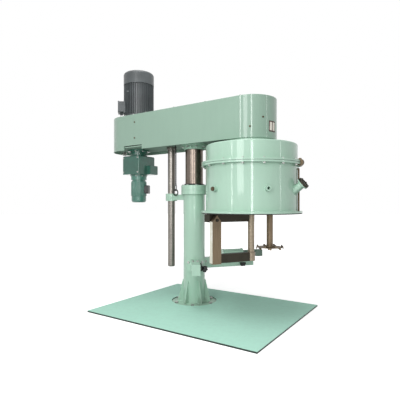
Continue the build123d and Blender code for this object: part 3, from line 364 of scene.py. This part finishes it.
def spun(profile, place, direction, sides=32, flats=0):
    """Profile rows of (radius, height) spun about a line. With flats the section is a polygon whose
    flats lie at the radius, so elsewhere it is divided by the cosine of the angle to the flat's middle."""
    across, over, out = frame_on(direction)
    turn = np.linspace(0, 2 * np.pi, sides, endpoint=False)
    shape = np.ones(sides)
    if flats:
        part = 2 * np.pi / flats
        shape = 1 / np.cos((turn % part) - part / 2)
    radius, height = np.array(profile, float).T
    ring = np.cos(turn)[:, None] * across + np.sin(turn)[:, None] * over
    points = radius[:, None, None] * (shape[:, None] * ring) + height[:, None, None] * out
    return points + np.array(place), False, True


def bolt_head(place, direction, size):
    """Hexagon head on a washer, for a thread of that size."""
    flat = 0.8 * size
    washer = [(0, 0), (1.15 * size, 0), (1.15 * size, 0.16 * size), (0, 0.16 * size)]
    head = [(0, 0.1 * size), (flat, 0.1 * size), (flat, 0.68 * size), (0.82 * flat, 0.8 * size),
            (0, 0.8 * size)]
    return [spun(washer, place, direction), spun(head, place, direction, sides=30, flats=6)]


def button_head(place, direction, radius):
    """Domed head with a socket in its middle."""
    dome = [(0, 0), (radius, 0), (radius, 0.25 * radius), (0.86 * radius, 0.58 * radius),
            (0.6 * radius, 0.74 * radius), (0.42 * radius, 0.76 * radius), (0.4 * radius, 0.3 * radius),
            (0, 0.3 * radius)]
    return [spun(dome, place, direction, sides=24)]


def bead(path, normal, width, closed=True):
    """Weld bead along a path: a flattened section that swells once every four points of the path."""
    path = np.array(path, float)
    count = len(path)
    if closed:
        along = np.roll(path, -1, 0) - np.roll(path, 1, 0)
    else:
        along = np.gradient(path, axis=0)
    along /= np.linalg.norm(along, axis=1)[:, None]
    normal = np.broadcast_to(normal, path.shape)
    side = np.cross(along, normal)
    side /= np.linalg.norm(side, axis=1)[:, None]
    over = np.cross(side, along)
    steps = np.arange(count)
    swell = 1 + 0.13 * np.cos(steps * 2 * np.pi / 4)
    if not closed:
        swell = swell * np.sqrt(np.clip(1 - (2 * steps / (count - 1) - 1) ** 12, 0, 1))
    turn = np.linspace(0, 2 * np.pi, 8, endpoint=False)
    section = np.cos(turn)[None, :, None] * side[:, None] + 0.8 * np.sin(turn)[None, :, None] * over[:, None]
    return path[:, None] + width * swell[:, None, None] * section, closed, True


def ring_path(radius, z, x=0.0, step=0.002):
    """Level circle, in steps that give a whole number of weld ripples."""
    count = 4 * int(2 * np.pi * radius / step / 4)
    turn = np.linspace(0, 2 * np.pi, count, endpoint=False)
    return np.stack([x + radius * np.cos(turn), radius * np.sin(turn), np.full(count, z)], axis=1)


def line_path(start_point, end_point, step=0.002):
    length = np.linalg.norm(np.subtract(end_point, start_point))
    share = np.linspace(0, 1, max(9, int(length / step)))[:, None]
    return np.array(start_point) * (1 - share) + np.array(end_point) * share


def make_camera():
    data = bpy.data.cameras.new("photo_camera")
    data.sensor_width = 36
    data.lens = data.sensor_width * focal_px / photo_px
    data.shift_y = (horizon_px - photo_px / 2) / photo_px
    camera = bpy.data.objects.new("photo_camera", data)
    camera.location = camera_place
    camera.rotation_euler = (np.pi / 2, 0, camera_turn)
    bpy.context.scene.collection.objects.link(camera)
    bpy.context.scene.camera = camera


def softbox(name, side_turn, distance, height, width, tall, watts):
    """Rectangular lamp on a circle round the machine, turned from the camera to its left in degrees."""
    turn = np.radians(side_turn)
    out = np.cos(turn) * towards_camera + np.sin(turn) * camera_left
    spot = distance * out + np.array([lamp_aim[0], 0, height])
    data = bpy.data.lights.new(name, "AREA")
    data.shape = "RECTANGLE"
    data.size = width
    data.size_y = tall
    data.energy = watts
    lamp = bpy.data.objects.new(name, data)
    across, over, back = frame_on(spot - lamp_aim)
    turned = np.eye(4)
    turned[:3, :3] = np.stack([across, over, back], axis=1)
    turned[:3, 3] = spot
    lamp.matrix_world = turned.T
    bpy.context.scene.collection.objects.link(lamp)


def make_light():
    softbox("key_softbox", 26, 3.5, 2.3, 1.0, 2.4, 42)
    softbox("front_strip", 0, 3.4, 1.7, 0.26, 2.3, 24)
    softbox("left_strip", 47, 3.9, 1.8, 0.14, 2.6, 14)
    softbox("right_strip", -62, 4.4, 1.9, 0.1, 2.4, 7)
    softbox("top_softbox", 30, 0.9, 5.2, 3.0, 3.0, 105)


def white_behind(tree, dim):
    """Strength of 1 where the camera, gloss or glass looks, and the dim value for soft light."""
    path = Wire(tree, tree.nodes.new("ShaderNodeLightPath").outputs["Is Camera Ray"])
    node = path.socket.node
    seen = path + Wire(tree, node.outputs["Is Glossy Ray"]) + Wire(tree, node.outputs["Is Transmission Ray"])
    seen = path.node("Math", {"operation": "MINIMUM"}, {0: seen, 1: 1.0})
    return dim + seen * (1 - dim)


def make_world():
    world = bpy.data.worlds.new("studio")
    world.use_nodes = True
    tree = world.node_tree
    tree.nodes["Background"].inputs["Color"].default_value = (1, 1, 1, 1)
    tree.links.new(white_behind(tree, 0.27).socket, tree.nodes["Background"].inputs["Strength"])
    bpy.context.scene.world = world


def make_floor():
    """Round pale floor: rings of growing radius, with a glow for the camera that keeps the shadow."""
    level = -0.0006
    profile = [(radius, level) for radius in (0, 1, 2, 4, 8, 16, 30)]
    points = spun(profile, (0, 0, 0), (0, 0, 1), sides=64)[0]
    rows, columns = points.shape[:2]
    index = np.arange(rows * columns).reshape(rows, columns)
    index = np.hstack([index, index[:, :1]])
    faces = np.stack([index[:-1, :-1], index[1:, :-1], index[1:, 1:], index[:-1, 1:]], axis=-1).reshape(-1, 4)
    mesh = bpy.data.meshes.new("floor")
    mesh.from_pydata(points.reshape(-1, 3).tolist(), [], faces.tolist())
    floor = bpy.data.objects.new("floor", mesh)
    bpy.context.scene.collection.objects.link(floor)
    material, place = start("pale_floor")
    tree = material.node_tree
    near_glow, fade_start, fade_length = 0.62, 1.6, 2.6
    far = place.node("VectorMath", {"operation": "LENGTH"}, {0: place}, output=1)
    far = far.above(fade_start, fade_length)
    speck = place.noise(3, 3).above(0.3, 0.4).mix((0.8, 0.8, 0.8, 1), (0.84, 0.84, 0.84, 1))
    glow = white_behind(tree, 0.0) * (near_glow + far * (1 - near_glow))
    dry = {"Base Color": speck, "Roughness": 0.9, "Specular IOR Level": 0.1}
    matt = place.node("BsdfPrincipled", {}, dry)
    shine = place.node("Emission", {}, {"Color": (1, 1, 1, 1), "Strength": glow})
    both = place.node("AddShader", {}, {0: matt, 1: shine})
    place.node("OutputMaterial", {}, {"Surface": both})
    floor.data.materials.append(material)


def stand_welds():
    """Welds of the column foot, its fins and the column's top flange."""
    fin_start, fin_top, fin_half, fin_root, fin_reach = 0.012, 0.212, 0.0075, 0.113, 0.163
    flange_bottom, foot_bead, bead_width, up = 1.0915, 0.0045, 0.004, (0, 0, 1)
    beads = [bead(ring_path(column_radius + 0.001, foot_top + 0.001), up, foot_bead)]
    beads.append(bead(ring_path(column_radius + 0.001, flange_bottom), up, bead_width))
    for i in range(foot_fins):
        out, aside = compass(360 * (i + 0.5) / foot_fins)
        for edge in (-fin_half, fin_half):
            root = out * (column_radius - 0.0002) + aside * edge
            upright = line_path(root + [0, 0, fin_start], root + [0, 0, fin_top])
            beads.append(bead(upright, out, bead_width, closed=False))
            low = out * fin_root + aside * edge + [0, 0, foot_top]
            far = out * fin_reach + aside * edge + [0, 0, foot_top]
            beads.append(bead(line_path(low, far), up, bead_width, closed=False))
    piece("stand_welds", beads, "stand", "green_paint", "stand_paint")


def lid_welds():
    """Welds of the lid's flanges, side ports and sight nozzle."""
    flange_heights = (1.3765, 1.3395, 0.9325)
    flange_bead, port_bead, nozzle_bead = 0.0042, 0.0035, 0.004
    face, port_radius = lid_radius + 0.0005, 0.0245
    beads = [bead(ring_path(face, z, lid_x), (0, 0, 1), flange_bead) for z in flange_heights]
    turn = np.linspace(0, 2 * np.pi, 40, endpoint=False)
    for degrees in port_angles:
        out, aside = compass(degrees)
        across = (port_radius * np.cos(turn))[:, None]
        rise = (port_radius * np.sin(turn))[:, None]
        path = np.sqrt(face ** 2 - across ** 2) * out + across * aside + rise * np.array([0, 0, 1])
        beads.append(bead(path + np.array([lid_x, 0, port_height]), out, port_bead))
    beads.append(bead(nozzle_root(face), (1, 0, 0), nozzle_bead))
    piece("lid_welds", beads, "head", "green_paint")


def nozzle_root(face):
    """Where the sight nozzle meets the skirt: each line along the nozzle is run until its distance
    from the lid axis is the face's radius, the larger root of a quadratic."""
    tilt, start_radius, start_height, weld_radius = np.radians(38.5), 0.4, 1.101, 0.0345
    out, aside = compass(0)
    along = out * np.cos(tilt) + np.array([0, 0, np.sin(tilt)])
    over = np.cross(along, aside)
    turn = np.linspace(0, 2 * np.pi, 128, endpoint=False)[:, None]
    circle = weld_radius * (np.cos(turn) * aside + np.sin(turn) * over)
    begin = out * start_radius + np.array([0, 0, start_height]) + circle
    flat = along[:2]
    a = flat @ flat
    b = 2 * begin[:, :2] @ flat
    c = (begin[:, :2] ** 2).sum(1) - face ** 2
    run = (-b + np.sqrt(b * b - 4 * a * c)) / (2 * a)
    return begin + run[:, None] * along + np.array([lid_x, 0, 0])


def beam_screws():
    """Small screws in the beam's near side and in its round end."""
    side_x, head_radius = -0.609, 0.0085
    side_heights = (1.864, 1.696)
    end_places = ((-66.5, 1.669), (-38, 1.753))
    heads = []
    for z in side_heights:
        heads += button_head((side_x, -beam_side, z), (0, -1, 0), head_radius)
    for degrees, z in end_places:
        out = compass(degrees)[0]
        heads += button_head(out * beam_side + [lid_x, 0, z], out, head_radius)
    piece("beam_side_screws", heads, "head", "zinc_steel", "dark_fitting", sharp=0.6)


def curved_tag(degrees, low, high, radius, x, half_degrees, thick):
    """Thin bare plate bent to a round face. Its outline is pulled in at the corners, and its front
    drops to a quarter of the thickness at the rim."""
    share_u = np.linspace(-1, 1, 25)[:, None]
    share_v = np.linspace(-1, 1, 17)[None, :]
    turn = np.radians(degrees + half_degrees * share_u * (1 - 0.03 * share_v ** 8))
    z = (low + high) / 2 + (high - low) / 2 * share_v * (1 - 0.03 * share_u ** 8)
    edge = np.clip(1 - np.maximum(abs(share_u), abs(share_v)) ** 24, 0, 1)
    out = radius + thick * (0.25 + 0.75 * np.sqrt(edge))
    front = np.stack([x + out * np.cos(turn), out * np.sin(turn), z + 0 * turn], axis=-1)
    back = np.stack([x + radius * np.cos(turn), radius * np.sin(turn), z + 0 * turn], axis=-1)
    rim_front = np.concatenate([front[:, 0], front[-1, 1:], front[-2::-1, -1], front[0, -2:0:-1]])
    rim_back = np.concatenate([back[:, 0], back[-1, 1:], back[-2::-1, -1], back[0, -2:0:-1]])
    rim = np.stack([rim_front, rim_back], axis=0)
    return [(front, False, False), (back, False, False), (rim, False, True)]


def tags():
    """Bare plates with their rivets, where the machine carries its data plates."""
    low, high, middle, half = 1.631, 1.728, -12, 11
    plate_thick, play = 0.0014, 0.0002
    rivet_turn, rivet_radius, rivet_inset = 9.6, 0.0028, 0.006
    field_turn, field_half, field_thick, frame_inset = 4.9, 3.6, 0.0006, 0.012
    plate = curved_tag(middle, low, high, beam_side + play, lid_x, half, plate_thick)
    rivets = []
    for degrees in (middle - rivet_turn, middle + rivet_turn):
        out = compass(degrees)[0]
        for z in (low + rivet_inset, high - rivet_inset):
            rivets += button_head(out * (beam_side + plate_thick) + [lid_x, 0, z], out, rivet_radius)
    piece("beam_tag", plate + rivets, "head", "zinc_steel", "tag_metal", sharp=0.5)
    fields = []
    for degrees in (middle - field_turn, middle + field_turn):
        fields += curved_tag(degrees, low + frame_inset, high - frame_inset,
                             beam_side + plate_thick + play, lid_x, field_half, field_thick)
    piece("beam_tag_fields", fields, "head", "zinc_steel", "tag_field", sharp=0.5)


def drive_bolts():
    """Flange bolts of the main motor, gearbox and slow motor, then the bolts on the gearbox's sides.
    A row is the bolt circle's radius, its height, 1 for up or -1 for down, and the thread size."""
    count = 8
    half_x, side_y, side_size = 0.105, 0.133, 0.009
    side_heights = (1.345, 1.505)
    rows = (
        (0.162, beam_top + 0.02, 1, 0.012),
        (0.107, 1.584, -1, 0.01),
        (0.0915, 1.31, -1, 0.008),
    )
    heads = []
    for i in range(count):
        out = compass(360 * (i + 0.5) / count)[0]
        for radius, z, up, size in rows:
            heads += bolt_head(out * radius + [motor_x, 0, z], (0, 0, up), size)
    for x in (motor_x - half_x, motor_x + half_x):
        for z in side_heights:
            for side in (-1, 1):
                heads += bolt_head((x, side * side_y, z), (0, side, 0), side_size)
    piece("drive_bolts", heads, "head", "zinc_steel", sharp=0.5)


def box_screws():
    """Corner screws of the two terminal box lids. A row is the lid's angle in degrees, its distance from
    the motor's axis, half its screw spacing and its lower and upper screw height."""
    head_radius = 0.004
    rows = (
        (223, 0.23, 0.062, 2.023, 2.133),
        (28, 0.118, 0.034, 1.121, 1.192),
    )
    heads = []
    for degrees, reach, half, low, high in rows:
        out, aside = compass(degrees)
        for side in (-half, half):
            for z in (low, high):
                heads += button_head(out * reach + aside * side + [motor_x, 0, z], out, head_radius)
    piece("box_screws", heads, "head", "zinc_steel", sharp=0.6)


def slow_motor_fins():
    """Cooling fins of the slow motor: a sleeve whose radius rises over each of its narrow ridges."""
    count, base, floor_lift, ridge_lift = 36, 0.0823, 0.0004, 0.0042
    turn = np.linspace(0, 2 * np.pi, 8 * count, endpoint=False)[None, :]
    z = np.array([1.082, 1.0825, 1.086, 1.238, 1.2415, 1.242])[:, None]
    lift = np.array([0, 0.55, 1, 1, 0.55, 0])[:, None]
    ridge = np.clip(np.cos(count * turn) * 1.6, 0, 1) ** 0.5
    radius = base + lift * (floor_lift + ridge_lift * ridge)
    points = np.stack([motor_x + radius * np.cos(turn), radius * np.sin(turn), z + 0 * turn], axis=-1)
    piece("slow_motor_fins", [(points, False, True)], "head", "dark_green_paint", "slow_motor_paint")


def neck_sleeve():
    """Sheet sleeve that closes the gap between the lid's cap and the beam: a thin closed ring."""
    inside, outside, low, high = 0.214, 0.22, 1.5302, 1.598
    profile = [(inside, low), (outside, low), (outside, high), (inside, high), (inside, low)]
    ring = spun(profile, (lid_x, 0, 0), (0, 0, 1), sides=128)
    piece("neck_sleeve", [ring], "head", "green_paint", sharp=0.6)


def agitator_welds():
    """Welds of the post to the top arm's collar and to its thicker foot in the bottom bar."""
    post_radius, foot_height, arm_height = 0.0305, 0.5505, 0.9255
    step, width = 0.0015, 0.0035
    beads = []
    for z in (foot_height, arm_height):
        beads.append(bead(ring_path(post_radius, z, lid_x, step), (0, 0, 1), width))
    piece("agitator_welds", beads, "carrier", "stainless", "post_steel")


make_camera()
make_world()
make_light()
make_floor()
dress_frame()
stand_welds()
lid_welds()
beam_screws()
tags()
drive_bolts()
box_screws()
slow_motor_fins()
neck_sleeve()
agitator_welds()

bpy.context.scene.view_settings.view_transform = "Standard"
